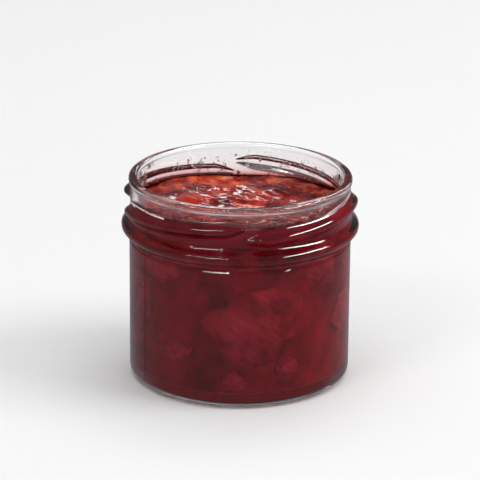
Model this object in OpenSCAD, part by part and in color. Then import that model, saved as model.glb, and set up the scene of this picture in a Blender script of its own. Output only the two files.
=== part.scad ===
// Low twist-off jam jar, nearly full of jam, with its lid off.
// Millimetres, +Z up. The origin is the middle of the circle that the jar stands on,
// and the front of the jar is towards -Y.

/* [Jar] */
// Outside diameter of the straight body
body_d = 78; // [66:0.5:96]
// Height from the table to the top of the lip
jar_h = 73; // [58:0.5:120]
// Thickness of the side wall
wall = 3; // [2.4:0.1:4.5]
// Thickness of the glass floor at the foot ring
floor_t = 3.4; // [2.6:0.1:7]
// Height of the hollow under the floor
push_up = 1.2; // [0.6:0.1:1.8]
// Width of the flat foot ring
foot_w = 2.5; // [1.5:0.1:4]
// Outside radius of the heel, where the wall meets the foot
heel_round = 3.6; // [2:0.1:6]
// Inside radius where the wall meets the floor
inside_round = 5; // [3:0.1:8]

/* [Finish] */
// Thickness of the glass between the bore and the outside of the finish
finish_wall = 2.7; // [2.2:0.1:4]
// How far the lip stands out from the finish
lip_proud = 0.55; // [0.3:0.05:1]
// Height of the rounded lip
lip_h = 2.2; // [1.6:0.1:3]
// How far the bead stands out from the finish
bead_proud = 3.1; // [2:0.1:4]
// Radius of the bead's rounded edge
bead_round = 2.4; // [1.6:0.1:3]
// Depth of the bead's middle below the lip
bead_drop = 17.7; // [15:0.1:22]
// Depth of the shoulder line, the top of the straight body, below the lip
shoulder_drop = 23; // [21:0.1:30]

/* [Lugs] */
// How many slanted lugs there are
lug_count = 4; // [3:1:6]
// How far a lug stands out from the finish
lug_proud = 2.8; // [2:0.1:3]
// Radius of a lug's section
lug_round = 2; // [1.5:0.1:2.4]
// Depth of a lug's middle below the lip
lug_drop = 9.3; // [8:0.1:11]
// How much higher the right end of a lug is than its left end
lug_rise = 4.4; // [2:0.1:5]
// Angle of the first lug's middle from the front, to the right
lug_turn = 48; // [0:1:90]
// Angle by which one lug runs on over the next
lug_overlap = 2; // [0:0.5:6]

/* [Jam] */
// Mean depth of the jam's surface below the lip
jam_drop = 10.4; // [8:0.1:30]
// How much higher the jam stands at the front than at the back
jam_lean = 3.8; // [0:0.1:5]
// Height of the lumps and hollows left in the surface
jam_relief = 1.8; // [0.4:0.1:2.5]
// How far the jam creeps up the glass at its edge
jam_creep = 1; // [0.2:0.1:1.2]

/* [Hidden] */

arc_step = 10;
fine = 96;
body_r = body_d / 2;
inside_r = body_r - wall;
finish_r = inside_r + finish_wall;
lip_round = lip_h / 2;
lip_edge_r = finish_r + lip_proud;
foot_r = body_r - heel_round;
bead_z = jar_h - bead_drop;
bead_r = finish_r + bead_proud;
bead_core_r = bead_r - bead_round;
shoulder_z = jar_h - shoulder_drop;
lug_z = jar_h - lug_drop;
lug_half_turn = 180 / lug_count + lug_overlap / 2;
lug_crest_r = finish_r + lug_proud;
// A lug is bent tighter than the finish, so that its ends sink this deep into it
lug_sink = 0.4;
lug_sunk_r = finish_r - lug_sink;
lug_bow = (lug_crest_r - lug_sunk_r) * (lug_crest_r + lug_sunk_r)
    / (2 * (lug_crest_r - lug_sunk_r * cos(lug_half_turn)));
lug_bend_r = lug_crest_r - lug_bow - lug_round;
lug_bar_turn = atan2(lug_sunk_r * sin(lug_half_turn), lug_sunk_r * cos(lug_half_turn) - lug_bow);
lug_slant = atan(lug_rise / 2 / (lug_sunk_r * sin(lug_half_turn)));
hollow_r = foot_r - foot_w;
hollow_steps = 6;
hollow_flat = 0.25;
shoulder_step = 0.7;
bead_ramp = 0.6;
// Where the rounded edges start and end, in degrees up from level
bead_from = -50;
lip_from = -30;
lip_to = 150;
// Long waves round the jam: height at the glass, waves in one turn, their starts, share of the finer ones
wave_h = 0.35;
waves = [3, 7];
wave_starts = [40, -25];
fine_share = 0.6;
// How sharply the jam turns up at the glass
creep_power = 14;
jam_z = jar_h - jam_drop;

// Lumps (+) and hollows (-) of the jam's surface. Each is the place across and from
// front to back, the reach, both as shares of the bore's radius, and the height.
SWELLS = [
    [-0.42, 0.10, 0.34, 1.0],
    [-0.05, 0.42, 0.26, 0.7],
    [0.16, -0.02, 0.30, -1.0],
    [0.62, 0.34, 0.22, -0.7],
    [0.44, 0.66, 0.16, 0.6],
    [-0.60, 0.58, 0.18, 0.5],
    [-0.30, -0.48, 0.30, -0.6],
    [0.40, -0.52, 0.28, 0.5],
    [0.74, -0.18, 0.16, 0.4],
];

// Points of an arc about [cx, cz] from angle a0 to angle a1
function arc(cx, cz, r, a0, a1) =
    let (steps = ceil(abs(a1 - a0) / arc_step))
    [for (i = [0:steps]) let (a = a0 + (a1 - a0) * i / steps) [cx + r * cos(a), cz + r * sin(a)]];

function total(list, i = 0) = i < len(list) ? list[i] + total(list, i + 1) : 0;

// Height of the jam's surface at [x, y], given as shares of the bore's radius
function swell(x, y) = total([
    for (s = SWELLS)
    s[3] * exp(-((x - s[0]) * (x - s[0]) + (y - s[1]) * (y - s[1])) / (s[2] * s[2]))
]);
function ripple(a, share) =
    wave_h * share * share * (sin(waves[0] * a + wave_starts[0]) + fine_share * sin(waves[1] * a + wave_starts[1]));
function creep(share) = jam_creep * pow(share, creep_power);
function surface_z(a, share) =
    jam_z - jam_lean / 2 * share * sin(a) + creep(share) + ripple(a, share)
    + jam_relief * swell(share * cos(a), share * sin(a));

// Outline of the space inside the jar, from the middle of the floor up the wall to height top
function inside_outline(top) = concat(
    [[0, floor_t]],
    arc(inside_r - inside_round, floor_t + inside_round, inside_round, -90, 0),
    [[inside_r, top]]
);

// Point of the hollow under the floor: flat in the middle, then falling to the foot ring
function hollow_point(share) = [hollow_r * (hollow_flat + (1 - hollow_flat) * share), push_up * (1 - share * share)];

// Outline of the jar's outside, from the middle of the underside to the top of the lip
function outside_outline() = concat(
    [[0, push_up]],
    [for (i = [0:hollow_steps]) hollow_point(i / hollow_steps)],
    arc(foot_r, heel_round, heel_round, -90, 0),
    [[body_r, shoulder_z], [finish_r, shoulder_z + shoulder_step]],
    arc(bead_core_r, bead_z, bead_round, bead_from, 90),
    [[finish_r, bead_z + bead_round + bead_ramp], [finish_r, jar_h - lip_h]],
    arc(lip_edge_r - lip_round, jar_h - lip_round, lip_round, lip_from, 90),
    arc(inside_r + lip_round, jar_h - lip_round, lip_round, 90, lip_to)
);

function backwards(list) = [for (i = [len(list) - 1:-1:0]) list[i]];

module glass_section() {
    polygon(concat(outside_outline(), backwards(inside_outline(jar_h - lip_h))));
}

module inside_section() {
    polygon(concat(inside_outline(jar_h), [[0, jar_h]]));
}

// One slanted lug: a round bar, bent tighter than the finish so that its ends sink into the glass
module lug() {
    rotate([lug_slant, 0, 0])
        translate([lug_bow, 0, 0])
            rotate([0, 0, -lug_bar_turn])
                rotate_extrude(angle = 2 * lug_bar_turn, $fn = fine)
                    translate([lug_bend_r, 0])
                        circle(r = lug_round, $fn = fine);
}

module lugs() {
    for (i = [0:lug_count - 1])
        rotate([0, 0, lug_turn - 90 + i * 360 / lug_count])
            translate([0, 0, lug_z])
                lug();
}

module jar() {
    color([0.86, 0.89, 0.90, 0.35])
        union() {
            rotate_extrude($fn = fine) glass_section();
            difference() {
                lugs();
                cylinder(h = jar_h, r = inside_r + finish_wall / 2, $fn = fine);
            }
        }
}

// The air above the jam: its underside is the uneven surface, on rings and spokes
module air_above_jam() {
    spokes = 60;
    rings = 12;
    reach = inside_r + 1;
    points = concat(
        [[0, 0, surface_z(0, 0)]],
        [
            for (i = [1:rings], j = [0:spokes - 1])
            let (share = i / rings, a = j * 360 / spokes, r = share * reach)
            [r * cos(a), r * sin(a), surface_z(a, share)]
        ],
        [for (j = [0:spokes - 1]) let (a = j * 360 / spokes) [reach * cos(a), reach * sin(a), jar_h + 2]]
    );
    function at(i, j) = 1 + (i - 1) * spokes + j % spokes;
    faces = concat(
        [for (j = [0:spokes - 1]) [0, at(1, j), at(1, j + 1)]],
        [for (i = [1:rings], j = [0:spokes - 1]) [at(i, j), at(i + 1, j + 1), at(i, j + 1)]],
        [for (i = [1:rings], j = [0:spokes - 1]) [at(i, j), at(i + 1, j), at(i + 1, j + 1)]],
        [[for (j = [spokes - 1:-1:0]) at(rings + 1, j)]]
    );
    polyhedron(points, faces);
}

module jam() {
    color([0.45, 0.04, 0.07])
        difference() {
            rotate_extrude($fn = fine) inside_section();
            air_above_jam();
        }
}

jar();
jam();
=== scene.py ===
import math

import bpy
import numpy as np
from mathutils import Matrix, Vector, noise


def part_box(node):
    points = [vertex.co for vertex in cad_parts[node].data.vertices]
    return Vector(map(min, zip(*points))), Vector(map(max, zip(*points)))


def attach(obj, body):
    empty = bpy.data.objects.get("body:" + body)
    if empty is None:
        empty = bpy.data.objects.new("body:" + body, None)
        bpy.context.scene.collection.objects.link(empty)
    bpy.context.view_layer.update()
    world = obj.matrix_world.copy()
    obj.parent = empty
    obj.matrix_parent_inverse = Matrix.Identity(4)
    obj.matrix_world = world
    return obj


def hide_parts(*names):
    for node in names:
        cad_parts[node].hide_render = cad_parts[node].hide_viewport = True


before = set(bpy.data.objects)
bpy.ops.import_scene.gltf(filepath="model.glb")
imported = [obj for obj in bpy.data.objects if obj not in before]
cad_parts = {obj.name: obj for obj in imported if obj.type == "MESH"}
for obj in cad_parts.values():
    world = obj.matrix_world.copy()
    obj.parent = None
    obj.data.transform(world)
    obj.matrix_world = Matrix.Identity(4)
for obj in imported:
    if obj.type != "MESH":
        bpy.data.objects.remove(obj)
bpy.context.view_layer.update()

# ---------------------------------------------------------------- sizes, in metres

MM = 0.001
jar_low, jar_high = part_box("jar")
jam_low, jam_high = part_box("jam")

jar_h = jar_high.z
inside_r = jam_high.x
floor_z = jam_low.z
wall = 3.0 * MM
finish_wall = 2.7 * MM
lip_proud = 0.55 * MM
body_r = inside_r + wall
finish_r = inside_r + finish_wall
lip_r = finish_r + lip_proud
bead_r = jar_high.x
bead_z = jar_h - 17.7 * MM
shoulder_z = jar_h - 23.0 * MM
lip_h = 2.2 * MM
lip_round = lip_h / 2.0
heel_round = 3.6 * MM
foot_w = 2.5 * MM
push_up = 1.2 * MM
inside_round = 5.0 * MM
foot_r = body_r - heel_round
hollow_r = foot_r - foot_w

lug_count = 4
lug_proud = 2.8 * MM
lug_z = jar_h - 9.3 * MM
lug_rise = 4.4 * MM
lug_turn = math.radians(48.0 - 90.0)
lug_half_turn = math.radians(180.0 / lug_count + 1.0)
seam_turns = (math.radians(-58.0 - 90.0), math.radians(122.0 - 90.0))
seam_h = 0.22 * MM
seam_half_w = math.radians(0.6)
lug_half_h = 2.15 * MM
lug_taper = math.radians(13.0)
# Height of a lug at its pointed ends, as a share of its full height, and how square its section is
lug_end_share = 0.35
lug_square = 2.6
# Depth and half width of the groove just above the shoulder
groove_deep = 0.22 * MM
groove_half_w = 0.4 * MM

jam_z = jar_h - 10.4 * MM
jam_lean = 3.8 * MM
jam_relief = 1.8 * MM
jam_creep = 1.0 * MM
# How far the jelly reaches into the glass
fill_overlap = 0.06 * MM
# Between the bore and the pulp, and between the bore and the fruit pieces
pulp_gap = 2.6 * MM
fruit_gap = 0.55 * MM

# Lumps (+) and hollows (-) of the jam's surface: place across, place from front to back,
# reach, as shares of the bore's radius, and height as a share of the relief.
SWELLS = [
    (-0.42, 0.10, 0.34, 1.0),
    (-0.05, 0.42, 0.26, 0.7),
    (0.16, -0.02, 0.30, -1.0),
    (0.62, 0.34, 0.22, -0.7),
    (0.44, 0.66, 0.16, 0.6),
    (-0.60, 0.58, 0.18, 0.5),
    (-0.30, -0.48, 0.30, -0.6),
    (0.40, -0.52, 0.28, 0.5),
    (0.74, -0.18, 0.16, 0.4),
]


# ---------------------------------------------------------------- mesh helpers


def make_piece(name, points, faces, *materials, wetted=None, smooth=True):
    """A mesh object at the origin, with its place in its mesh. Faces whose corners are all
    wetted take the second material."""
    mesh = bpy.data.meshes.new(name)
    mesh.from_pydata(np.asarray(points, float).tolist(), [], faces)
    for material in materials:
        mesh.materials.append(material)
    mesh.polygons.foreach_set("use_smooth", [smooth] * len(mesh.polygons))
    if wetted is not None:
        second = [int(all(wetted[i] for i in face)) for face in faces]
        mesh.polygons.foreach_set("material_index", second)
    mesh.update()
    piece = bpy.data.objects.new(name, mesh)
    bpy.context.scene.collection.objects.link(piece)
    return piece


def turned_faces(rows, spokes):
    """Faces of a closed turned form: a first point, rows of spokes points, a last point."""
    faces = [(0, 1 + (j + 1) % spokes, 1 + j) for j in range(spokes)]
    for i in range(rows - 1):
        near, far = 1 + i * spokes, 1 + (i + 1) * spokes
        for j in range(spokes):
            k = (j + 1) % spokes
            faces.append((near + j, near + k, far + k, far + j))
    last = 1 + rows * spokes
    edge = last - spokes
    faces += [(last, edge + j, edge + (j + 1) % spokes) for j in range(spokes)]
    return faces


def arc(cx, cz, r, start, end, steps):
    """Points of an arc in the half section, from start to end in degrees."""
    turn = np.radians(np.linspace(start, end, steps))
    return np.column_stack([cx + r * np.cos(turn), cz + r * np.sin(turn)])


def smoothstep(x):
    """0 below 0, 1 above 1, and a soft S between them."""
    x = np.clip(x, 0.0, 1.0)
    return x * x * (3.0 - 2.0 * x)


def field(x, y, z, size, seed):
    """Smooth noise from -1 to 1 at points given as flat arrays, with lumps about size across."""
    scale = 1.0 / size
    return np.array([noise.noise((a * scale + seed, b * scale, c * scale)) for a, b, c in zip(x, y, z)])


# ---------------------------------------------------------------- node tree helpers


def feed(tree, socket, value):
    """Link a socket's value, or set it where it is a plain number."""
    if isinstance(value, bpy.types.NodeSocket):
        tree.links.new(value, socket)
    else:
        socket.default_value = value


def maths(tree, operation, *values):
    """The result of one Math node."""
    node = tree.nodes.new("ShaderNodeMath")
    node.operation = operation
    for socket, value in zip(node.inputs, values):
        feed(tree, socket, value)
    return node.outputs[0]


def span(tree, value, low, high):
    """0 where value is at low, 1 where it is at high, and clamped past them."""
    node = tree.nodes.new("ShaderNodeMapRange")
    node.inputs["From Min"].default_value = low
    node.inputs["From Max"].default_value = high
    feed(tree, node.inputs["Value"], value)
    return node.outputs["Result"]


def new_tree(name, sizes):
    """A Geometry Nodes tree that takes and gives a mesh, with one named input for each size."""
    tree = bpy.data.node_groups.new(name, "GeometryNodeTree")
    tree.interface.new_socket("Geometry", in_out="INPUT", socket_type="NodeSocketGeometry")
    tree.interface.new_socket("Geometry", in_out="OUTPUT", socket_type="NodeSocketGeometry")
    for size, value in sizes.items():
        kind = "NodeSocketInt" if isinstance(value, int) else "NodeSocketFloat"
        tree.interface.new_socket(size, in_out="INPUT", socket_type=kind)
    return tree, tree.nodes.new("NodeGroupInput").outputs, tree.nodes.new("NodeGroupOutput").inputs


def attribute(tree, name):
    """A number stored on the mesh."""
    node = tree.nodes.new("GeometryNodeInputNamedAttribute")
    node.data_type = "FLOAT"
    node.inputs["Name"].default_value = name
    return node.outputs["Attribute"]


def set_material(tree, geometry, material, selection=None):
    """Geometry with a material on it, or on a selection of its faces."""
    node = tree.nodes.new("GeometryNodeSetMaterial")
    tree.links.new(geometry, node.inputs["Geometry"])
    node.inputs["Material"].default_value = material
    if selection is not None:
        tree.links.new(selection, node.inputs["Selection"])
    return node.outputs["Geometry"]


def grown(base, tree, sizes):
    """The plain mesh object that a tree makes from a base, under the base's name."""
    modifier = base.modifiers.new(tree.name, "NODES")
    modifier.node_group = tree
    for item in tree.interface.items_tree:
        if item.in_out == "INPUT" and item.name in sizes:
            modifier[item.identifier] = sizes[item.name]
    graph = bpy.context.evaluated_depsgraph_get()
    mesh = bpy.data.meshes.new_from_object(base.evaluated_get(graph))
    while mesh.materials[0] is None:
        mesh.materials.pop(index=0)
    name = base.name
    base.modifiers.remove(modifier)
    bpy.data.objects.remove(base)
    mesh.name = name
    piece = bpy.data.objects.new(name, mesh)
    bpy.context.scene.collection.objects.link(piece)
    return piece


# ---------------------------------------------------------------- the glass jar


def outside_wall(z):
    """Radius of the outside between the heel and the lip, without the lugs."""
    r = body_r + (finish_r - body_r) * smoothstep((z - shoulder_z + 0.3 * MM) / (0.6 * MM))
    groove_z = shoulder_z + 0.6 * MM
    r = r - groove_deep * np.exp(-(((z - groove_z) / groove_half_w) ** 2))
    below = np.exp(-np.abs((z - bead_z) / (3.0 * MM)) ** 2.4)
    above = np.exp(-np.abs((z - bead_z) / (2.2 * MM)) ** 2.6)
    r = r + (bead_r - finish_r) * np.where(z < bead_z, below, above)
    lip = np.exp(-np.abs((z - jar_h + lip_round) / (1.15 * MM)) ** 3)
    return r + (lip_r - finish_r) * lip


LUG_SIZES = {
    "Lugs": lug_count,
    "First Lug Turn": lug_turn,
    "Half Turn": lug_half_turn,
    "Taper": lug_taper,
    "Stand Out": lug_proud,
    "Middle Height": lug_z,
    "Rise": lug_rise,
    "Half Height": lug_half_h,
}


def lug_tree(clear, wetted_glass):
    """Raises the slanted lugs out of the turned glass. Every second lug is one family, so that two
    that run on over each other keep their own heights."""
    tree, sizes, out = new_tree("slanted_lugs", LUG_SIZES)
    place = tree.nodes.new("ShaderNodeSeparateXYZ")
    tree.links.new(tree.nodes.new("GeometryNodeInputPosition").outputs[0], place.inputs[0])
    x, y, z = place.outputs
    turn = maths(tree, "ARCTAN2", y, x)
    pitch = maths(tree, "DIVIDE", 2.0 * math.pi, sizes["Lugs"])
    heights = []
    for family in range(2):
        middle = maths(tree, "ADD", sizes["First Lug Turn"], maths(tree, "MULTIPLY", pitch, float(family)))
        past = maths(tree, "SUBTRACT", turn, middle)
        off = maths(tree, "WRAP", past, pitch, maths(tree, "MULTIPLY", pitch, -1.0))
        left = maths(tree, "SUBTRACT", sizes["Half Turn"], maths(tree, "ABSOLUTE", off))
        full = tree.nodes.new("ShaderNodeMapRange")
        full.interpolation_type = "SMOOTHSTEP"
        feed(tree, full.inputs["Value"], left)
        feed(tree, full.inputs["From Max"], sizes["Taper"])
        full = full.outputs["Result"]
        along = maths(tree, "DIVIDE", off, sizes["Half Turn"])
        climb = maths(tree, "MULTIPLY", maths(tree, "MULTIPLY", along, sizes["Rise"]), 0.5)
        crest = maths(tree, "ADD", sizes["Middle Height"], climb)
        share = maths(tree, "MULTIPLY_ADD", full, 1.0 - lug_end_share, lug_end_share)
        half = maths(tree, "MULTIPLY", sizes["Half Height"], share)
        slope = maths(tree, "ABSOLUTE", maths(tree, "DIVIDE", maths(tree, "SUBTRACT", z, crest), half))
        fall = maths(tree, "MULTIPLY", maths(tree, "POWER", slope, lug_square), -1.0)
        ridge = maths(tree, "EXPONENT", fall)
        rise = maths(tree, "MULTIPLY", sizes["Stand Out"], maths(tree, "SQRT", full))
        heights.append(maths(tree, "MULTIPLY", rise, ridge))
    height = maths(tree, "MULTIPLY", maths(tree, "MAXIMUM", *heights), attribute(tree, "on_wall"))
    push = tree.nodes.new("ShaderNodeCombineXYZ")
    feed(tree, push.inputs["X"], maths(tree, "MULTIPLY", height, maths(tree, "COSINE", turn)))
    feed(tree, push.inputs["Y"], maths(tree, "MULTIPLY", height, maths(tree, "SINE", turn)))
    moved = tree.nodes.new("GeometryNodeSetPosition")
    feed(tree, moved.inputs["Geometry"], sizes["Geometry"])
    feed(tree, moved.inputs["Offset"], push.outputs[0])
    whole = tree.nodes.new("GeometryNodeRealizeInstances")
    feed(tree, whole.inputs[0], moved.outputs[0])
    wet = maths(tree, "GREATER_THAN", attribute(tree, "wetted"), 0.5)
    made = set_material(tree, whole.outputs[0], clear)
    feed(tree, out["Geometry"], set_material(tree, made, wetted_glass, wet))
    return tree


def glass_outline():
    """Half section of the glass, from the middle of the underside round to the middle of the floor.
    The second value tells which points are on the outside wall, and the third is the first point
    of the bore."""
    share = np.linspace(0.08, 1.0, 12)
    hollow = np.column_stack([hollow_r * share, push_up * (1.0 - share**2)])
    heel = arc(foot_r, heel_round, heel_round, -90.0, 0.0, 12)
    body_z = np.linspace(heel_round + 1.5 * MM, shoulder_z - 1.5 * MM, 26)
    finish_z = np.linspace(shoulder_z - 1.0 * MM, jar_h - 1.3 * MM, 96)
    outside_z = np.concatenate([body_z, finish_z])
    outside = np.column_stack([outside_wall(outside_z), outside_z])
    lip_out = arc(lip_r - lip_round, jar_h - lip_round, lip_round, 5.0, 90.0, 9)
    lip_in = arc(inside_r + lip_round, jar_h - lip_round, lip_round, 100.0, 180.0, 9)
    bore_z = np.linspace(jar_h - lip_h, floor_z + inside_round + 0.5 * MM, 44)
    bore = np.column_stack([np.full_like(bore_z, inside_r), bore_z])
    corner = arc(inside_r - inside_round, floor_z + inside_round, inside_round, 0.0, -90.0, 12)
    floor = np.column_stack([(inside_r - inside_round) * np.linspace(0.9, 0.08, 10), np.full(10, floor_z)])
    outline = np.concatenate([hollow, heel, outside, lip_out, lip_in, bore, corner, floor])
    first = len(hollow) + len(heel)
    on_wall = np.zeros(len(outline), bool)
    on_wall[first : first + len(outside)] = True
    return outline, on_wall, len(outline) - len(bore) - len(corner) - len(floor)


def glass_turns():
    """Angles of the glass's spokes: even all round, and close together at the two mould seams."""
    spokes = 300
    even = np.arange(spokes) * 2.0 * math.pi / spokes
    shares = (-1.0, -0.6, -0.3, 0.0, 0.3, 0.6, 1.0)
    near = [seam + share * seam_half_w for seam in seam_turns for share in shares]
    return np.unique(np.mod(np.concatenate([even, near]), 2.0 * math.pi))


def make_glass(clear, wetted_glass):
    turn = glass_turns()
    spokes = len(turn)
    outline, on_wall, first_inside = glass_outline()
    r = np.repeat(outline[:, :1], spokes, axis=1)
    z = np.repeat(outline[:, 1:], spokes, axis=1)
    for seam in seam_turns:
        off = np.abs((turn - seam + math.pi) % (2.0 * math.pi) - math.pi) / seam_half_w
        r[on_wall] += seam_h * np.clip(1.0 - off, 0.0, 1.0) * (z[on_wall] < shoulder_z - MM)
    x, y = r * np.cos(turn), r * np.sin(turn)
    bore = slice(first_inside, first_inside + 40)
    wave = field(x[bore].ravel(), y[bore].ravel(), z[bore].ravel(), 9.0 * MM, 6.0)
    fade = smoothstep((jar_h - lip_h - z[bore]) / (2.0 * MM))
    r[bore] += 0.05 * MM * wave.reshape(r[bore].shape) * fade
    points = np.stack([r * np.cos(turn), r * np.sin(turn), z], axis=2).reshape(-1, 3)
    points = np.concatenate([[(0, 0, push_up)], points, [(0, 0, floor_z)]])
    inside = np.zeros(len(points), bool)
    inside[1 + first_inside * spokes :] = True
    wetted = inside & (points[:, 2] < surface_z(points[:, 0], points[:, 1], fine=False))
    walled = np.zeros(len(points))
    walled[1:-1] = np.repeat(on_wall, spokes)
    faces = turned_faces(len(outline), spokes)
    base = make_piece("glass_jar", points, faces)
    base.data.attributes.new("on_wall", "FLOAT", "POINT").data.foreach_set("value", walled)
    wet_faces = np.array([all(wetted[i] for i in face) for face in faces], float)
    base.data.attributes.new("wetted", "FLOAT", "FACE").data.foreach_set("value", wet_faces)
    return grown(base, lug_tree(clear, wetted_glass), LUG_SIZES)


# ---------------------------------------------------------------- the jam


def surface_z(x, y, fine=True):
    """Height of the jam's surface at flat arrays of places. fine adds the folds that a spoon leaves."""
    r = np.hypot(x, y) / inside_r
    turn = np.arctan2(y, x)
    z = jam_z - jam_lean / 2.0 * y / inside_r + jam_creep * r**10
    z += 0.35 * MM * r * r * (np.sin(3 * turn + 0.7) + 0.6 * np.sin(7 * turn - 0.44))
    for across, back, reach, height in SWELLS:
        d2 = (x / inside_r - across) ** 2 + (y / inside_r - back) ** 2
        z += jam_relief * height * np.exp(-d2 / reach**2)
    if not fine:
        return z
    inner = 1.0 - smoothstep((r - 0.86) / 0.14)
    z += 1.0 * MM * inner * field(x, y, 0 * x, 7.0 * MM, 3.0)
    z -= 1.1 * MM * inner * np.abs(field(x, y, 0 * x, 5.5 * MM, 5.5))
    z += 0.16 * MM * inner * field(x, y, 0 * x, 2.2 * MM, 9.0)
    return z


def make_jam(open_gel, gel_at_glass):
    spokes, rings = 240, 90
    turn = np.arange(spokes) * 2.0 * math.pi / spokes
    reach = inside_r + fill_overlap
    low = floor_z - fill_overlap
    rows = [arc(reach - inside_round, low + inside_round, inside_round, -90.0, 0.0, 10)]
    base_r = (reach - inside_round) * np.linspace(0.05, 0.95, 8)
    rows.insert(0, np.column_stack([base_r, np.full(8, low)]))
    wall_z = np.linspace(low + inside_round + 2 * MM, jam_z - 5 * MM, 20)
    rows.append(np.column_stack([np.full(20, reach), wall_z]))
    outline = np.concatenate(rows)
    r = np.repeat(outline[:, :1], spokes, axis=1)
    z = np.repeat(outline[:, 1:], spokes, axis=1)
    top_r = np.repeat((reach * np.linspace(1.0, 0.02, rings) ** 0.8)[:, None], spokes, axis=1)
    x, y = (top_r * np.cos(turn)).ravel(), (top_r * np.sin(turn)).ravel()
    top_z = surface_z(x, y).reshape(rings, spokes)
    r, z = np.concatenate([r, top_r]), np.concatenate([z, top_z])
    points = np.stack([r * np.cos(turn), r * np.sin(turn), z], axis=2).reshape(-1, 3)
    top = surface_z(np.zeros(1), np.zeros(1))[0]
    points = np.concatenate([[(0, 0, low)], points, [(0, 0, top)]])
    at_glass = np.zeros(len(points), bool)
    at_glass[: 1 + (len(outline) + 1) * spokes] = True
    faces = turned_faces(len(outline) + rings, spokes)
    return make_piece("jam_gel", points, faces, open_gel, gel_at_glass, wetted=at_glass)


def make_core(name, material):
    """The bulk of the fruit pulp: it stays a little inside the glass and the surface, flares out to
    the glass near the surface, and has pits where clear jelly stands over it."""
    spokes, rows, rings = 220, 70, 60
    turn = np.arange(spokes) * 2.0 * math.pi / spokes
    low_round, high_round = 0.8 * MM, 0.5 * MM
    low = floor_z + 0.5 * MM
    high = jam_z - 0.5 * MM
    reach = inside_r - pulp_gap
    base = np.column_stack([(reach - low_round) * np.linspace(0.06, 0.98, 24), np.full(24, low)])
    heel = arc(reach - low_round, low + low_round, low_round, -90.0, 0.0, 6)
    side_z = np.linspace(low + 1.2 * MM, high - 0.8 * MM, rows)
    side = np.column_stack([np.full(rows, reach), side_z])
    edge = arc(reach - high_round, high - high_round, high_round, 5.0, 90.0, 7)
    top_r = (reach - high_round) * np.linspace(0.98, 0.03, rings)
    top = np.column_stack([top_r, np.full(rings, high)])
    outline = np.concatenate([base, heel, side, edge, top])
    r = np.repeat(outline[:, :1], spokes, axis=1)
    z = np.repeat(outline[:, 1:], spokes, axis=1)
    x, y, z = (r * np.cos(turn)).ravel(), (r * np.sin(turn)).ravel(), z.ravel()
    swell = field(x, y, z, 13.0 * MM, 4.0) + 0.5 * field(x, y, z, 5.0 * MM, 8.0)
    pinch = 1.0 + 0.04 * (np.clip(swell, -1.0, 0.4) - 0.35)
    edge_gap = 0.25 * MM + 0.75 * MM * smoothstep(0.3 - y / inside_r)
    flare = smoothstep((z - high + 7.0 * MM) / (5.0 * MM))
    flare = flare * smoothstep((np.hypot(x, y) / reach - 0.85) / 0.1)
    pinch = pinch + flare * ((inside_r - edge_gap) / reach - pinch)
    x, y = x * pinch, y * pinch
    lift = smoothstep((z - low) / (high - low))
    sunk = smoothstep((inside_r - 2.5 * MM - np.hypot(x, y)) / (7.0 * MM)) * (z > high - 1.3 * MM)
    pits = 0.5 - 1.2 * field(x, y, 0 * z, 9.0 * MM, 14.0) - 0.5 * field(x, y, 0 * z, 3.6 * MM, 17.0)
    pit_deep = (4.6 - 2.4 * y / inside_r) * MM
    under_surface = (1.3 - 0.8 * y / inside_r) * MM
    z = z + lift * (surface_z(x, y, fine=False) - jam_z)
    z = z - sunk * (pit_deep * smoothstep(pits) + under_surface)
    points = np.column_stack([x, y, z])
    points = np.concatenate([[(0, 0, low)], points, [(0, 0, points[-spokes:, 2].mean())]])
    return make_piece(name, points, turned_faces(len(outline), spokes), material)


# Fruit near the glass: angle from the front to the right in degrees, height above the foot, half
# width, half height and half depth in millimetres, and how far the piece is turned in its own plane.
FRUIT = [
    (9.0, 29.5, 23.0, 17.5, 3.8, 25.0),
    (50.0, 47.0, 9.5, 7.0, 3.3, -20.0),
    (-3.0, 8.5, 5.5, 4.0, 3.0, 10.0),
    (-37.0, 17.5, 7.5, 5.0, 3.1, 20.0),
    (28.0, 12.0, 5.0, 5.5, 3.0, 60.0),
    (-52.0, 46.0, 12.0, 6.5, 3.4, -15.0),
    (-72.0, 31.0, 10.0, 13.0, 3.3, 15.0),
    (78.0, 25.0, 12.0, 10.0, 3.4, -30.0),
    (100.0, 48.0, 11.0, 8.5, 3.4, 20.0),
    (118.0, 18.0, 13.0, 10.0, 3.5, 40.0),
    (150.0, 38.0, 15.0, 13.0, 3.7, -25.0),
    (172.0, 14.0, 9.0, 7.0, 3.2, 10.0),
    (-160.0, 45.0, 11.0, 8.0, 3.4, 30.0),
    (-140.0, 22.0, 15.0, 13.0, 3.7, -35.0),
    (-110.0, 46.0, 12.0, 9.0, 3.4, 10.0),
    (-98.0, 12.0, 9.0, 6.0, 3.2, -10.0),
]


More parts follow.
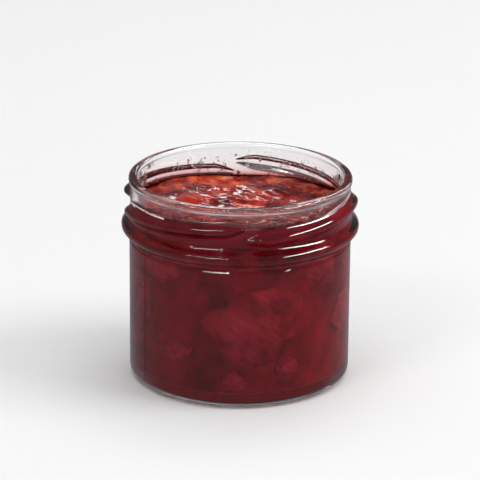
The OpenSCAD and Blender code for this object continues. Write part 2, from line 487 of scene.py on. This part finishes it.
def fruit_shape(turn_deg, height, half_w, half_h, half_d, lean, seed):
    """Points of one soft fruit piece that lies along the glass."""
    spokes, rows = 72, 44
    up = np.pi * (np.arange(rows) + 1) / (rows + 1)
    turn = np.arange(spokes) * 2.0 * math.pi / spokes
    s, c = np.sin(up)[:, None], np.cos(up)[:, None]
    unit = np.stack([s * np.cos(turn), s * np.sin(turn), -c * np.ones(spokes)], axis=2).reshape(-1, 3)
    unit = np.concatenate([[(0, 0, -1)], unit, [(0, 0, 1)]])
    lumps = np.clip(field(*unit.T, 0.8, seed), -1.0, 0.3)
    rough = 0.86 + 0.34 * lumps + 0.09 * field(*unit.T, 0.35, seed + 5.0)
    local = unit * rough[:, None]
    lean = math.radians(lean)
    across = (local[:, 0] * math.cos(lean) - local[:, 2] * math.sin(lean)) * half_w * MM
    rise = (local[:, 0] * math.sin(lean) + local[:, 2] * math.cos(lean)) * half_h * MM
    depth = local[:, 1] * half_d * MM
    r = inside_r - fruit_gap - half_d * MM + depth
    a = math.radians(turn_deg - 90.0) + across / inside_r
    z = np.clip(height * MM + rise, floor_z + 0.3 * MM, jar_h)
    return np.column_stack([r * np.cos(a), r * np.sin(a), z]), turned_faces(rows, spokes)


def make_fruit(name, material):
    points, faces, count = [], [], 0
    for i, size in enumerate(FRUIT):
        shape, own_faces = fruit_shape(*size, 3.7 * i + 1.0)
        points.append(shape)
        # a local frame that turns left to right has its faces pointing inwards
        faces += [tuple(count + k for k in reversed(face)) for face in own_faces]
        count += len(shape)
    return make_piece(name, np.concatenate(points), faces, material)


def scatter_tree(name, material, sizes, ragged, sunk, detail):
    """Scatters small lumps over a base mesh, thick where its amount is high. ragged pushes each
    lump in and out, sunk is how deep it sits, as a share of its own height, and detail is how
    finely its ball is divided."""
    tree, given, out = new_tree(name, sizes)
    spread = tree.nodes.new("GeometryNodeDistributePointsOnFaces")
    feed(tree, spread.inputs["Mesh"], given["Geometry"])
    thick = maths(tree, "MULTIPLY", attribute(tree, "amount"), given["Density"])
    feed(tree, spread.inputs["Density"], thick)
    feed(tree, spread.inputs["Seed"], given["Seed"])
    ball = tree.nodes.new("GeometryNodeMeshIcoSphere")
    ball.inputs["Radius"].default_value = 0.5
    ball.inputs["Subdivisions"].default_value = detail
    cloud = tree.nodes.new("ShaderNodeTexNoise")
    cloud.inputs["Scale"].default_value = 2.6
    pull = maths(tree, "MULTIPLY", maths(tree, "SUBTRACT", cloud.outputs["Fac"], 0.5), ragged)
    push = tree.nodes.new("ShaderNodeVectorMath")
    push.operation = "SCALE"
    tree.links.new(tree.nodes.new("GeometryNodeInputNormal").outputs[0], push.inputs[0])
    feed(tree, push.inputs["Scale"], pull)
    bent = tree.nodes.new("GeometryNodeSetPosition")
    feed(tree, bent.inputs["Geometry"], ball.outputs["Mesh"])
    feed(tree, bent.inputs["Offset"], push.outputs[0])
    smooth = tree.nodes.new("GeometryNodeSetShadeSmooth")
    feed(tree, smooth.inputs[0], bent.outputs[0])
    scale = tree.nodes.new("ShaderNodeCombineXYZ")
    for axis, side, seed in (("X", "Width", 22), ("Y", "Length", 23)):
        chance = tree.nodes.new("FunctionNodeRandomValue")
        chance.data_type = "FLOAT"
        feed(tree, chance.inputs[2], given["Least " + side])
        feed(tree, chance.inputs[3], given["Most " + side])
        chance.inputs["Seed"].default_value = seed
        feed(tree, scale.inputs[axis], chance.outputs[1])
    feed(tree, scale.inputs["Z"], given["Thickness"])
    spin = tree.nodes.new("FunctionNodeRandomValue")
    spin.data_type = "FLOAT"
    spin.inputs[3].default_value = 2.0 * math.pi
    spin.inputs["Seed"].default_value = 5
    angle = tree.nodes.new("ShaderNodeCombineXYZ")
    feed(tree, angle.inputs["Z"], spin.outputs[1])
    turned = tree.nodes.new("FunctionNodeRotateRotation")
    turned.rotation_space = "LOCAL"
    feed(tree, turned.inputs[0], spread.outputs["Rotation"])
    feed(tree, turned.inputs[1], angle.outputs[0])
    laid = tree.nodes.new("GeometryNodeInstanceOnPoints")
    feed(tree, laid.inputs["Points"], spread.outputs["Points"])
    feed(tree, laid.inputs["Instance"], smooth.outputs[0])
    feed(tree, laid.inputs["Rotation"], turned.outputs[0])
    feed(tree, laid.inputs["Scale"], scale.outputs[0])
    sink = tree.nodes.new("GeometryNodeTranslateInstances")
    feed(tree, sink.inputs[0], laid.outputs[0])
    drop = tree.nodes.new("ShaderNodeCombineXYZ")
    feed(tree, drop.inputs["Z"], maths(tree, "MULTIPLY", given["Thickness"], -sunk))
    feed(tree, sink.inputs["Translation"], drop.outputs[0])
    sink.inputs["Local Space"].default_value = True
    whole = tree.nodes.new("GeometryNodeRealizeInstances")
    feed(tree, whole.inputs[0], sink.outputs[0])
    feed(tree, out["Geometry"], set_material(tree, whole.outputs[0], material))
    return tree


def scatter_sizes(density, seed, width, length, thickness):
    """Sizes of a scatter tree, in millimetres: how many to a square one, and each lump's least and
    most width and length."""
    return {
        "Density": density / MM**2,
        "Seed": seed,
        "Least Width": width[0] * MM,
        "Most Width": width[1] * MM,
        "Least Length": length[0] * MM,
        "Most Length": length[1] * MM,
        "Thickness": thickness * MM,
    }


def make_seeds(name, fruit, material):
    """Seeds all over the fruit pieces, half sunk in their skin."""
    base = bpy.data.objects.new(name, fruit.data.copy())
    bpy.context.scene.collection.objects.link(base)
    amount = np.ones(len(base.data.vertices))
    base.data.attributes.new("amount", "FLOAT", "POINT").data.foreach_set("value", amount)
    sizes = scatter_sizes(0.02, 4, (0.7, 0.9), (1.1, 1.4), 0.5)
    return grown(base, scatter_tree(name, material, sizes, 0.0, 0.1, 1), sizes)


def bore_strip(name, high, amount_at):
    """A strip of the bore from the jam up to high, facing inwards, with an amount at each point."""
    spokes, rows = 240, 24
    turn = np.arange(spokes) * 2.0 * math.pi / spokes
    share = np.linspace(0.0, 1.0, rows)[:, None]
    edge_x, edge_y = inside_r * np.cos(turn), inside_r * np.sin(turn)
    bottom = surface_z(edge_x, edge_y, fine=False)
    z = bottom + (high - bottom) * share
    x, y = np.broadcast_to(edge_x, z.shape), np.broadcast_to(edge_y, z.shape)
    faces = []
    for i in range(rows - 1):
        for j in range(spokes):
            k = (j + 1) % spokes
            faces.append((i * spokes + j, (i + 1) * spokes + j, (i + 1) * spokes + k, i * spokes + k))
    strip = make_piece(name, np.stack([x, y, z], axis=2).reshape(-1, 3), faces)
    degrees = (np.degrees(np.arctan2(y, x)).ravel() + 270.0) % 360.0 - 180.0
    rough = field(x.ravel(), y.ravel(), z.ravel(), 5.0 * MM, 21.0)
    amount = amount_at(degrees, z.ravel(), rough, share.repeat(spokes))
    strip.data.attributes.new("amount", "FLOAT", "POINT").data.foreach_set("value", np.clip(amount, 0.0, 8.0))
    return strip


# Patches on the bore: how thick, the angle from the front to the right in degrees, the height above
# the foot in millimetres, and half the patch's turn and height. First the bits of jam where a spoon
# wiped the glass, then the fine drops.
WIPED = [
    (3.0, -112.0, 67.5, 9.0, 3.4),
    (2.2, 104.0, 68.0, 10.0, 2.6),
    (1.2, 140.0, 66.5, 22.0, 1.2),
    (1.0, -60.0, 67.0, 26.0, 1.2),
    (0.6, -25.0, 67.2, 14.0, 0.7),
    (0.5, -150.0, 66.0, 20.0, 1.6),
]
MISTED = [
    (3.4, 32.0, 67.6, 32.0, 2.4),
    (2.2, -48.0, 67.0, 30.0, 2.0),
    (0.8, 150.0, 67.5, 40.0, 2.4),
]


def patch(degrees, z, turn_deg, height, half_turn, half_h):
    """A soft round patch on the bore, 1 in its middle."""
    off = (degrees - turn_deg + 180.0) % 360.0 - 180.0
    return np.exp(-((off / half_turn) ** 2) - ((z - height * MM) / (half_h * MM)) ** 2)


def smear_amount(degrees, z, rough, share):
    """Bits of jam: a ragged line just above the jam, and some places where the spoon wiped the glass."""
    line = np.exp(-((share - 0.05) / 0.08) ** 2)
    wiped = sum(thick * patch(degrees, z, *place) for thick, *place in WIPED)
    return (1.1 * line + wiped) * smoothstep(0.55 + 1.3 * rough)


def drop_amount(degrees, z, rough, share):
    """Fine drops: thickest on the right of the front and thin all round."""
    misted = sum(thick * patch(degrees, z, *place) for thick, *place in MISTED)
    return (0.25 + misted) * smoothstep(0.6 + rough) * smoothstep((jar_h - 1.6 * MM - z) / (1.5 * MM))


def make_film(name, material):
    """A film of jam that clings to the bore above the surface: thick at the jam, thin and ragged
    above, and higher at the front than at the back."""
    spokes, rows = 300, 44
    turn = np.arange(spokes) * 2.0 * math.pi / spokes
    x, y = inside_r * np.cos(turn), inside_r * np.sin(turn)
    jam_line = surface_z(x, y, fine=False)
    bottom = jam_line - 0.8 * MM
    share = np.linspace(0.0, 1.0, rows)[:, None]
    z = bottom + (jar_h - 1.9 * MM - bottom) * share
    above = z - jam_line
    xs, ys = np.broadcast_to(x, z.shape).ravel(), np.broadcast_to(y, z.shape).ravel()
    rough = field(xs, ys, z.ravel() * 0.5, 4.0 * MM, 31.0)
    rough += 0.6 * field(xs, ys, z.ravel() * 0.6, 1.6 * MM, 35.0)
    rough = rough.reshape(z.shape)
    front = smoothstep(0.5 - 0.9 * y / inside_r)
    reach = (0.9 + 4.6 * front) * MM * (1.0 + 0.35 * rough)
    cling = 0.55 * np.exp(-np.abs(above) / (1.1 * MM))
    cling = cling + 0.17 * smoothstep((reach - above) / (1.2 * MM)) * (1.0 + 0.8 * rough)
    thick = np.maximum(cling, 0.0) * MM * smoothstep((1.0 - share) / 0.08)
    outer_r = np.full(z.shape, inside_r + 0.05 * MM)
    inner_r = inside_r + 0.03 * MM - thick
    r = np.concatenate([outer_r, inner_r[::-1]])
    z = np.concatenate([z, z[::-1]])
    points = np.stack([r * np.cos(turn), r * np.sin(turn), z], axis=2).reshape(-1, 3)
    count = 2 * rows
    faces = []
    for i in range(count):
        near, far = i * spokes, (i + 1) % count * spokes
        for j in range(spokes):
            k = (j + 1) % spokes
            faces.append((near + j, near + k, far + k, far + j))
    return make_piece(name, points, faces, material)


def make_smears(name, material):
    """Ragged bits of jam on the bore."""
    base = bore_strip(name, jar_h - 1.4 * MM, smear_amount)
    sizes = scatter_sizes(0.9, 7, (0.3, 0.9), (0.4, 2.2), 0.45)
    return grown(base, scatter_tree(name, material, sizes, 0.9, 0.15, 2), sizes)


def make_drops(name, material):
    """Fine drops on the bore."""
    base = bore_strip(name, jar_h - 1.4 * MM, drop_amount)
    sizes = scatter_sizes(0.9, 3, (0.2, 0.45), (0.2, 0.5), 0.26)
    return grown(base, scatter_tree(name, material, sizes, 0.0, 0.1, 2), sizes)


# ---------------------------------------------------------------- materials


def new_material(name):
    """A material with its nodes, its links and its main shader."""
    material = bpy.data.materials.new(name)
    material.use_nodes = True
    tree = material.node_tree
    return material, tree.nodes, tree.links, tree.nodes["Principled BSDF"]


def object_place(nodes, links):
    """The Object coordinates socket and its X, Y and Z."""
    place = nodes.new("ShaderNodeTexCoord").outputs["Object"]
    split = nodes.new("ShaderNodeSeparateXYZ")
    links.new(place, split.inputs[0])
    return place, split.outputs


def cloud(tree, place, size, detail=3.0, stretch=None):
    """Noise from 0 to 1 with lumps about size across. stretch is how much longer they are along each
    axis, and how far those axes are turned, in degrees."""
    if stretch is not None:
        squeeze = tree.nodes.new("ShaderNodeMapping")
        squeeze.vector_type = "TEXTURE"
        squeeze.inputs["Scale"].default_value = stretch[0]
        squeeze.inputs["Rotation"].default_value = [math.radians(a) for a in stretch[1]]
        tree.links.new(place, squeeze.inputs[0])
        place = squeeze.outputs[0]
    node = tree.nodes.new("ShaderNodeTexNoise")
    node.inputs["Scale"].default_value = 1.0 / size
    node.inputs["Detail"].default_value = detail
    node.inputs["Roughness"].default_value = 0.55
    tree.links.new(place, node.inputs["Vector"])
    return node.outputs["Fac"]


def ramp(tree, value, *stops):
    """Colours at positions from 0 to 1."""
    node = tree.nodes.new("ShaderNodeValToRGB")
    while len(node.color_ramp.elements) < len(stops):
        node.color_ramp.elements.new(0.5)
    for element, (position, color) in zip(node.color_ramp.elements, stops):
        element.position = position
        element.color = (*color, 1.0)
    tree.links.new(value, node.inputs["Fac"])
    return node.outputs["Color"]


def blend(tree, share, first, second, kind="MIX"):
    """Two colours mixed, or multiplied where kind says so."""
    node = tree.nodes.new("ShaderNodeMix")
    node.data_type = "RGBA"
    node.blend_type = kind
    feed(tree, node.inputs["Factor"], share)
    for socket, value in ((node.inputs[6], first), (node.inputs[7], second)):
        feed(tree, socket, value)
    return node.outputs[2]


def bump(tree, shader, height, depth):
    """Roughens a shader's normal by a height from 0 to 1 that stands for depth."""
    node = tree.nodes.new("ShaderNodeBump")
    node.inputs["Strength"].default_value = 1.0
    node.inputs["Distance"].default_value = depth
    tree.links.new(height, node.inputs["Height"])
    tree.links.new(node.outputs["Normal"], shader.inputs["Normal"])


def glass_material(name, index):
    """Clear moulded glass: faint waves all over, and fine ribs round the foot. index is the step in
    refractive index from what touches it into the glass."""
    material, nodes, links, shader = new_material(name)
    tree = material.node_tree
    shader.inputs["Base Color"].default_value = (0.975, 0.978, 0.985, 1)
    shader.inputs["Roughness"].default_value = 0.0
    shader.inputs["IOR"].default_value = index
    shader.inputs["Transmission Weight"].default_value = 1.0
    place, (x, y, z) = object_place(nodes, links)
    waves = cloud(tree, place, 7.0 * MM, detail=1.0)
    rib = maths(tree, "SINE", maths(tree, "MULTIPLY", maths(tree, "ARCTAN2", y, x), 110.0))
    foot = span(tree, z, 0.9 * MM, 0.2 * MM)
    ribs = maths(tree, "MULTIPLY", maths(tree, "MULTIPLY", rib, foot), 0.6)
    bump(tree, shader, maths(tree, "ADD", waves, ribs), 0.03 * MM)
    return material


def clear_jam(name, index, tint, roughness, lump, lump_h, absorbs, density, detail=3.0):
    """Something clear made of jam: its faces are tinted and have small lumps, and its volume swallows
    what the colour absorbs lacks."""
    material, nodes, links, shader = new_material(name)
    tree = material.node_tree
    shader.inputs["Base Color"].default_value = (*tint, 1)
    shader.inputs["Roughness"].default_value = roughness
    shader.inputs["IOR"].default_value = index
    shader.inputs["Transmission Weight"].default_value = 1.0
    place, _ = object_place(nodes, links)
    bump(tree, shader, cloud(tree, place, lump, detail), lump_h)
    absorb = nodes.new("ShaderNodeVolumeAbsorption")
    absorb.inputs["Color"].default_value = (*absorbs, 1)
    absorb.inputs["Density"].default_value = density
    links.new(absorb.outputs["Volume"], nodes["Material Output"].inputs["Volume"])
    return material


def gel_material(name, index):
    """Clear red jelly that swallows green and blue within a few millimetres."""
    white, red = (1.0, 1.0, 1.0), (0.84, 0.25, 0.02)
    return clear_jam(name, index, white, 0.0, 2.4 * MM, 0.08 * MM, red, 226.0, detail=1.0)


def film_material(name):
    """Jam wiped thin over the glass, which stains what is seen through it."""
    white, pink = (1.0, 1.0, 1.0), (0.79, 0.27, 0.27)
    return clear_jam(name, 1.0, white, 0.0, 1.2 * MM, 0.02 * MM, pink, 4200.0)


def smear_material(name, density):
    """Thin jam with pulp in it on the glass: the same red as the jelly, but much stronger."""
    pale, red = (1.0, 0.96, 0.95), (0.80, 0.22, 0.10)
    return clear_jam(name, 1.45, pale, 0.03, 0.6 * MM, 0.05 * MM, red, density)


def pulp_material(name):
    """Cooked pulp: dark and mottled against the glass. Its upward faces near the surface are pale orange:
    painted light from above over the pulp's own colour. Its underside near the floor has a painted glow,
    standing in for the light that soaks down through the jam."""
    material, nodes, links, shader = new_material(name)
    tree = material.node_tree
    place, (x, y, z) = object_place(nodes, links)
    facing = nodes.new("ShaderNodeSeparateXYZ")
    links.new(nodes.new("ShaderNodeNewGeometry").outputs["Normal"], facing.inputs[0])
    level = facing.outputs["Z"]
    fibre = cloud(tree, place, 3.0 * MM, stretch=((1.0, 1.0, 3.0), (20.0, 35.0, 0.0)))

    reds = [(0.34, (0.17, 0.003, 0.013)), (0.50, (0.28, 0.005, 0.030)), (0.66, (0.35, 0.009, 0.040))]
    side = ramp(tree, cloud(tree, place, 15.0 * MM, detail=2.0), *reds)
    threads = ramp(tree, fibre, (0.3, (0.45, 0.3, 0.3)), (0.7, (1.0, 1.0, 1.0)))
    side = blend(tree, 0.35, side, threads, "MULTIPLY")

    # Pale orange flesh for upward faces near the surface: painted light from above over the pulp's own colour
    oranges = [(0.38, (0.15, 0.003, 0.003)), (0.52, (0.42, 0.035, 0.013)), (0.68, (0.76, 0.20, 0.08))]
    lit_flesh = ramp(tree, cloud(tree, place, 7.0 * MM, detail=2.5), *oranges)
    near_surface = span(tree, z, jam_z - 12.0 * MM, jam_z - 8.0 * MM)
    top_light_share = maths(tree, "MULTIPLY", span(tree, level, 0.15, 0.55), near_surface)
    feed(tree, shader.inputs["Base Color"], blend(tree, top_light_share, side, lit_flesh))
    feed(tree, shader.inputs["Roughness"], maths(tree, "MULTIPLY_ADD", fibre, 0.3, 0.4))

    # Painted glow: downward faces near the floor give off a faint red light, standing in for the light that
    # soaks down through the jam
    near_floor = span(tree, z, floor_z + 5.0 * MM, floor_z + 2.0 * MM)
    underglow_share = maths(tree, "MULTIPLY", span(tree, level, -0.3, -0.9), near_floor)
    glow = ramp(tree, fibre, (0.3, (0.42, 0.012, 0.018)), (0.7, (0.75, 0.05, 0.06)))
    feed(tree, shader.inputs["Emission Color"], blend(tree, underglow_share, (0, 0, 0, 1), glow))
    shader.inputs["Emission Strength"].default_value = 0.13

    shader.inputs["Specular IOR Level"].default_value = 0.0
    shader.inputs["Subsurface Weight"].default_value = 1.0
    shader.inputs["Subsurface Radius"].default_value = (1.0, 0.2, 0.15)
    shader.inputs["Subsurface Scale"].default_value = 5.0 * MM
    bump(tree, shader, fibre, 0.5 * MM)
    return material


def fruit_material(name):
    """Soft fruit stained by syrup: paler veins that run aslant, and wrinkled skin."""
    material, nodes, links, shader = new_material(name)
    tree = material.node_tree
    place, _ = object_place(nodes, links)
    vein = cloud(tree, place, 1.5 * MM, detail=2.0, stretch=((6.0, 2.0, 1.0), (0.0, 40.0, 0.0)))
    reds = [(0.3, (0.22, 0.006, 0.024)), (0.5, (0.32, 0.014, 0.036)), (0.7, (0.40, 0.026, 0.048))]
    skin = ramp(tree, cloud(tree, place, 9.0 * MM, detail=2.0), *reds)
    veins = ramp(tree, vein, (0.35, (0.5, 0.3, 0.35)), (0.62, (1.0, 1.0, 1.0)))
    feed(tree, shader.inputs["Base Color"], blend(tree, 0.4, skin, veins, "MULTIPLY"))
    feed(tree, shader.inputs["Roughness"], maths(tree, "MULTIPLY_ADD", vein, 0.3, 0.35))
    shader.inputs["Specular IOR Level"].default_value = 0.0
    bump(tree, shader, vein, 0.7 * MM)
    return material


def seed_material(name):
    """Small brown seeds, darker to one end."""
    material, nodes, links, shader = new_material(name)
    tree = material.node_tree
    place, _ = object_place(nodes, links)
    tone = cloud(tree, place, 0.9 * MM)
    browns = [(0.3, (0.06, 0.006, 0.004)), (0.7, (0.22, 0.03, 0.012))]
    feed(tree, shader.inputs["Base Color"], ramp(tree, tone, *browns))
    feed(tree, shader.inputs["Roughness"], maths(tree, "MULTIPLY_ADD", tone, 0.3, 0.3))
    shader.inputs["Specular IOR Level"].default_value = 0.2
    bump(tree, shader, tone, 0.05 * MM)
    return material


# ---------------------------------------------------------------- stage


def make_floor():
    """A plain pale floor. Reflections on the glass show the room below instead, which is dimmer."""
    material, nodes, links, shader = new_material("pale_floor")
    tree = material.node_tree
    place, _ = object_place(nodes, links)
    tone = ramp(tree, cloud(tree, place, 0.4), (0.3, (0.845, 0.845, 0.845)), (0.7, (0.855, 0.855, 0.855)))
    feed(tree, shader.inputs["Base Color"], tone)
    shader.inputs["Roughness"].default_value = 1.0
    shader.inputs["Specular IOR Level"].default_value = 0.0
    half = 6.0
    corners = [(-half, -half, 0), (half, -half, 0), (half, half, 0), (-half, half, 0)]
    floor = make_piece("floor", corners, [(0, 1, 2, 3)], material, smooth=False)
    floor.visible_glossy = False


def make_world():
    """A dim room: grey below, darker round the sides and overhead."""
    world = bpy.data.worlds.new("soft_room")
    bpy.context.scene.world = world
    world.use_nodes = True
    tree = world.node_tree
    split = tree.nodes.new("ShaderNodeSeparateXYZ")
    tree.links.new(tree.nodes.new("ShaderNodeTexCoord").outputs["Generated"], split.inputs[0])
    height = maths(tree, "MULTIPLY_ADD", split.outputs["Z"], 0.5, 0.5)
    grey = ramp(
        tree,
        height,
        (0.30, (0.30, 0.30, 0.33)),
        (0.48, (0.33, 0.33, 0.36)),
        (0.53, (0.14, 0.14, 0.145)),
        (0.72, (0.16, 0.16, 0.165)),
        (0.95, (0.22, 0.22, 0.22)),
    )
    tree.links.new(grey, tree.nodes["Background"].inputs["Color"])


def make_softbox(name, turn, up, size, power, distance=2.4, glints_only=False):
    """A flat lamp turned towards the jar. turn is the angle from the front, to the right, and up the
    angle above the floor. A lamp lights the jar or, with glints_only, shows in reflections alone."""
    lamp = bpy.data.lights.new(name, "AREA")
    lamp.shape = "RECTANGLE"
    lamp.size, lamp.size_y = size
    lamp.energy = power
    turn, up = math.radians(turn), math.radians(up)
    out = np.array([math.sin(turn) * math.cos(up), -math.cos(turn) * math.cos(up), math.sin(up)])
    body = bpy.data.objects.new(name, lamp)
    body.location = out * distance + np.array([0, 0, jar_h / 2])
    body.rotation_euler = (math.pi / 2 - up, 0.0, turn)
    body.visible_glossy = glints_only
    if glints_only:
        body.visible_diffuse = False
        body.visible_transmission = False
        body.visible_volume_scatter = False
    bpy.context.scene.collection.objects.link(body)


def make_camera():
    """A long lens about a metre away, which looks a little down."""
    away, height = 0.9604, 0.3839
    pitch, roll = math.radians(19.246), math.radians(0.5)
    lens = bpy.data.cameras.new("camera")
    lens.sensor_width = 36.0
    lens.lens = 216.2
    camera = bpy.data.objects.new("camera", lens)
    place = Matrix.Translation((0.0, -away, height))
    tilt = Matrix.Rotation(math.pi / 2 - pitch, 4, "X") @ Matrix.Rotation(roll, 4, "Z")
    camera.matrix_world = place @ tilt
    bpy.context.scene.collection.objects.link(camera)
    bpy.context.scene.camera = camera


# ---------------------------------------------------------------- put together

make_camera()
make_world()
make_floor()
make_softbox("right_softbox", 80.0, 44.0, (1.3, 0.9), 22.0)
make_softbox("left_softbox", -40.0, 42.0, (0.7, 0.5), 7.5)
make_softbox("back_softbox", 165.0, 60.0, (1.2, 0.8), 6.0)
make_softbox("top_softbox", 0.0, 90.0, (2.8, 2.8), 38.0, distance=2.2)
make_softbox("right_glint", 80.0, 43.0, (2.0, 0.46), 90.0, glints_only=True)
make_softbox("left_glint", -36.0, 42.0, (1.5, 0.22), 28.0, glints_only=True)
make_softbox("back_glint", 170.0, 32.0, (1.2, 0.24), 7.0, glints_only=True)
bpy.context.scene.view_settings.view_transform = "Standard"

# Light bends by glass_index from air into glass and by jam_index from air into jam. Where jam wets
# the glass, the wall makes the whole step between the two and the jam's own side makes none.
glass_index, jam_index = 1.5, 1.45
clear = glass_material("clear_glass", glass_index)
wetted_glass = glass_material("wetted_glass", glass_index / jam_index)
glass = make_glass(clear, wetted_glass)
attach(glass, "root")
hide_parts("jar")

gel = make_jam(gel_material("jam_gel", jam_index), gel_material("jam_gel_at_glass", 1.0))
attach(gel, "root")
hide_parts("jam")

core = make_core("jam_pulp", pulp_material("jam_pulp"))
fruit = make_fruit("fruit_pieces", fruit_material("fruit_skin"))
seeds = make_seeds("fruit_seeds", fruit, seed_material("fruit_seed"))
smears = make_smears("jam_smears", smear_material("jam_smear", 1500.0))
drops = make_drops("wall_drops", smear_material("wall_drop", 300.0))
film = make_film("jam_film", film_material("jam_film"))
for piece in (core, fruit, seeds, film, smears, drops):
    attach(piece, "root")
